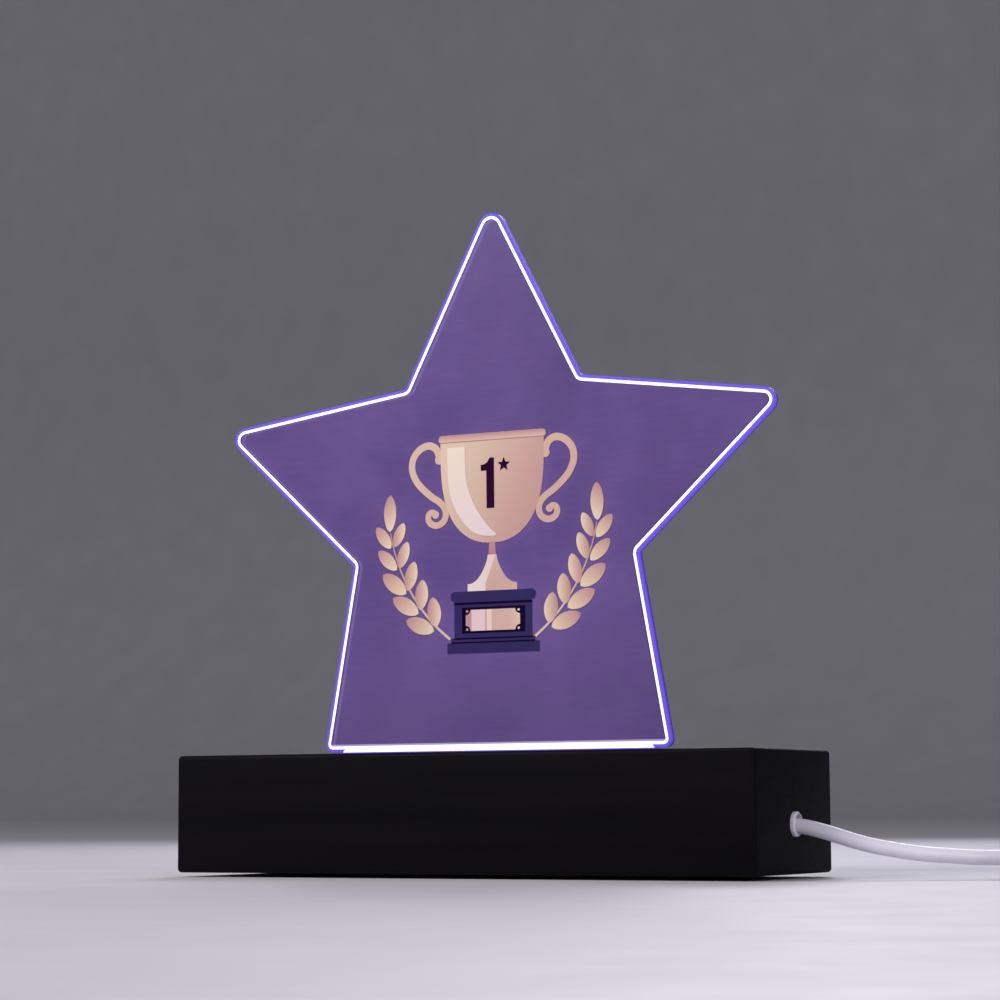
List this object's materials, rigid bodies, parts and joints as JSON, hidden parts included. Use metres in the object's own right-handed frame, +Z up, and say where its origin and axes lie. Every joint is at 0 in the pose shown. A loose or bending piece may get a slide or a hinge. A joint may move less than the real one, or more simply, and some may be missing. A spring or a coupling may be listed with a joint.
{
  "type": "star trophy",
  "caption": "Lit award plaque: a star of clear acrylic printed with a cup and laurel, standing in the slot of a dark wooden light base with a switched USB lead.",
  "frame": {"origin": "middle of the wooden base's footprint, on the surface it rests on", "axes": "+X along the base towards the cord's exit, +Y to the back, +Z up; the printed face looks along -Y"},
  "size_m": [0.3187, 0.0496, 0.1578],
  "materials": {
    "block": "fine-grained wood under a satin black stain, soft purple sheen",
    "cover": "dark moulded sheet, matt",
    "screws": "zinc-plated steel",
    "feet": "matt rubber pads",
    "board": "white solder resist on glass-fibre board",
    "led_body": "white moulded package",
    "led_lens": "yellow silicone drop",
    "resistor": "black glazed chip",
    "solder": "bright solder",
    "wire_red": "PVC insulation",
    "wire_black": "PVC insulation",
    "clamp": "natural nylon",
    "bushing": "soft white vinyl",
    "cord": "satin white PVC jacket",
    "tie": "black hook-and-loop strap",
    "switch_shell": "moulded white ABS, satin",
    "contacts": "stamped brass",
    "relief": "moulded white vinyl, ribbed",
    "rocker": "moulded pale grey ABS, gloss",
    "plug_body": "moulded white vinyl, fine texture",
    "plug_metal": "nickel-plated steel sheet",
    "plug_tongue": "white moulded insulator",
    "acrylic": "clear acrylic lit violet along its edges, hazy lilac face",
    "ink_white": "white base layer of the UV print",
    "ink_cup": "UV print, cream to rose gradient",
    "ink_handles": "UV print, tan to rose gradient",
    "ink_shine": "UV print, pale cream",
    "ink_dark": "UV print, dark aubergine",
    "ink_navy": "UV print, navy",
    "ink_recess": "UV print, near-black navy",
    "ink_plate": "UV print, striped cream and rose",
    "ink_laurel": "UV print, cream to rose gradient"
  },
  "bodies": {
    "base": {"wood_block": "block", "bottom_cover": "cover", "cover_screws": "screws", "rubber_feet": "feet", "led_board": "board", "board_screws": "screws", "led_packages": "led_body", "led_lenses": "led_lens", "resistors": "resistor", "solder_joints": "solder", "wire_red": "wire_red", "wire_black": "wire_black", "cable_clamp": "clamp", "clamp_screws": "screws", "cable_bushing": "bushing", "cord_lead": "cord", "cord_coil": "cord", "coil_tie": "tie", "cord_tail": "cord", "switch_shell_top": "switch_shell", "switch_shell_bottom": "switch_shell", "switch_screws": "screws", "switch_terminals": "contacts", "switch_spring": "contacts", "switch_reliefs": "relief", "cord_plug_lead": "cord", "plug_body": "plug_body", "plug_relief": "relief", "plug_shell": "plug_metal", "plug_tongue": "plug_tongue", "plug_contacts": "contacts"},
    "plaque": {"star_panel": "acrylic", "print_white": "ink_white", "print_cup": "ink_cup", "print_handles": "ink_handles", "print_shine": "ink_shine", "print_numeral": "ink_dark", "print_plinth": "ink_navy", "print_recess": "ink_recess", "print_nameplate": "ink_plate", "print_laurel_left": "ink_laurel", "print_laurel_right": "ink_laurel"},
    "rocker": {"switch_rocker": "rocker"}
  },
  "joints": [
    {"name": "plaque_lift", "type": "slide", "parent": "base", "child": "plaque", "axis": [0, 0, 1], "range_m": [0, 0.03]},
    {"name": "rocker_tilt", "type": "hinge", "parent": "base", "child": "rocker", "pos_m": [0.203, 0.017, 0.0095], "axis": [0, -1, 0], "range_deg": [0, 16]}
  ]
}
